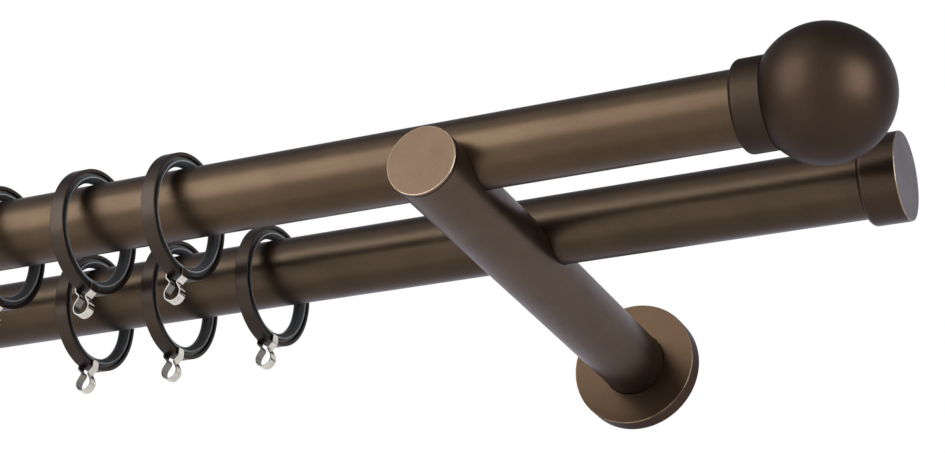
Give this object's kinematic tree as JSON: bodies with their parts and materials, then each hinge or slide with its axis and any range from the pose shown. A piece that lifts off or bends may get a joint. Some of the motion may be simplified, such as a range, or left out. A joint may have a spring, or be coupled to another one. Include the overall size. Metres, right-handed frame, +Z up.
{
  "type": "double curtain pole",
  "caption": "Wall-mounted double curtain pole: two tubes in saddles across bracket arms, ball finials in front, flat end caps behind, lined rings with clips.",
  "frame": {"origin": "on the wall, at the middle of the right-hand wall plate's back, on the axis of that bracket's arm", "axes": "+X along the poles, to the right as seen from the room; +Y into the wall; +Z up"},
  "size_m": [1.2922, 0.2155, 0.0674],
  "materials": {
    "bronze_lacquer": "satin dark bronze lacquer on steel, rubbed to pale brass on turned rims",
    "nylon": "dark grey moulded nylon, slightly glossy",
    "nickel": "bright nickel plate on spring steel strip",
    "zinc_steel": "bright zinc plate",
    "black_steel": "black oxide on hardened steel"
  },
  "bodies": {
    "root": {"front_pole": "bronze_lacquer", "rear_pole": "bronze_lacquer", "wall_plate_right": "zinc_steel", "rose_right": "bronze_lacquer", "arm_right": "bronze_lacquer", "arm_cap_right": "bronze_lacquer", "finial_collar_right": "bronze_lacquer", "finial_ball_right": "bronze_lacquer", "end_cap_right": "bronze_lacquer", "wall_plate_left": "zinc_steel", "rose_left": "bronze_lacquer", "arm_left": "bronze_lacquer", "arm_cap_left": "bronze_lacquer", "finial_collar_left": "bronze_lacquer", "finial_ball_left": "bronze_lacquer", "end_cap_left": "bronze_lacquer", "arm_grub_screws": "black_steel", "collar_grub_screws": "black_steel", "end_cap_grub_screws": "black_steel", "finial_screws": "black_steel"},
    "front_ring_1": {"front_ring_band_1": "bronze_lacquer", "front_ring_liner_1": "nylon"},
    "front_ring_1_clip": {"front_ring_clip_1": "nickel"},
    "front_ring_2": {"front_ring_band_2": "bronze_lacquer", "front_ring_liner_2": "nylon"},
    "front_ring_2_clip": {"front_ring_clip_2": "nickel"},
    "front_ring_3": {"front_ring_band_3": "bronze_lacquer", "front_ring_liner_3": "nylon"},
    "front_ring_3_clip": {"front_ring_clip_3": "nickel"},
    "rear_ring_1": {"rear_ring_band_1": "bronze_lacquer", "rear_ring_liner_1": "nylon"},
    "rear_ring_1_clip": {"rear_ring_clip_1": "nickel"},
    "rear_ring_2": {"rear_ring_band_2": "bronze_lacquer", "rear_ring_liner_2": "nylon"},
    "rear_ring_2_clip": {"rear_ring_clip_2": "nickel"},
    "rear_ring_3": {"rear_ring_band_3": "bronze_lacquer", "rear_ring_liner_3": "nylon"},
    "rear_ring_3_clip": {"rear_ring_clip_3": "nickel"}
  },
  "joints": [
    {"name": "front_ring_1_slide", "type": "slide", "parent": "root", "child": "front_ring_1", "axis": [1, 0, 0], "range_m": [-0.017, 0.099]},
    {"name": "front_ring_1_clip_swing", "type": "hinge", "parent": "front_ring_1", "child": "front_ring_1_clip", "pos_m": [-0.1165, -0.19, -0.01695], "axis": [1, 0, 0], "range_deg": [-20, 20]},
    {"name": "front_ring_2_slide", "type": "slide", "parent": "root", "child": "front_ring_2", "axis": [1, 0, 0], "range_m": [-0.0185, 0.017]},
    {"name": "front_ring_2_clip_swing", "type": "hinge", "parent": "front_ring_2", "child": "front_ring_2_clip", "pos_m": [-0.159, -0.19, -0.01695], "axis": [1, 0, 0], "range_deg": [-20, 20]},
    {"name": "front_ring_3_slide", "type": "slide", "parent": "root", "child": "front_ring_3", "axis": [1, 0, 0], "range_m": [-0.732, 0.0185]},
    {"name": "front_ring_3_clip_swing", "type": "hinge", "parent": "front_ring_3", "child": "front_ring_3_clip", "pos_m": [-0.2045, -0.19, -0.01695], "axis": [1, 0, 0], "range_deg": [-20, 20]},
    {"name": "rear_ring_1_slide", "type": "slide", "parent": "root", "child": "rear_ring_1", "axis": [1, 0, 0], "range_m": [-0.01875, 0.0995]},
    {"name": "rear_ring_1_clip_swing", "type": "hinge", "parent": "rear_ring_1", "child": "rear_ring_1_clip", "pos_m": [-0.117, -0.12, -0.01695], "axis": [1, 0, 0], "range_deg": [-20, 20]},
    {"name": "rear_ring_2_slide", "type": "slide", "parent": "root", "child": "rear_ring_2", "axis": [1, 0, 0], "range_m": [-0.0175, 0.01875]},
    {"name": "rear_ring_2_clip_swing", "type": "hinge", "parent": "rear_ring_2", "child": "rear_ring_2_clip", "pos_m": [-0.163, -0.12, -0.01695], "axis": [1, 0, 0], "range_deg": [-20, 20]},
    {"name": "rear_ring_3_slide", "type": "slide", "parent": "root", "child": "rear_ring_3", "axis": [1, 0, 0], "range_m": [-0.73, 0.0175]},
    {"name": "rear_ring_3_clip_swing", "type": "hinge", "parent": "rear_ring_3", "child": "rear_ring_3_clip", "pos_m": [-0.2065, -0.12, -0.01695], "axis": [1, 0, 0], "range_deg": [-20, 20]}
  ]
}
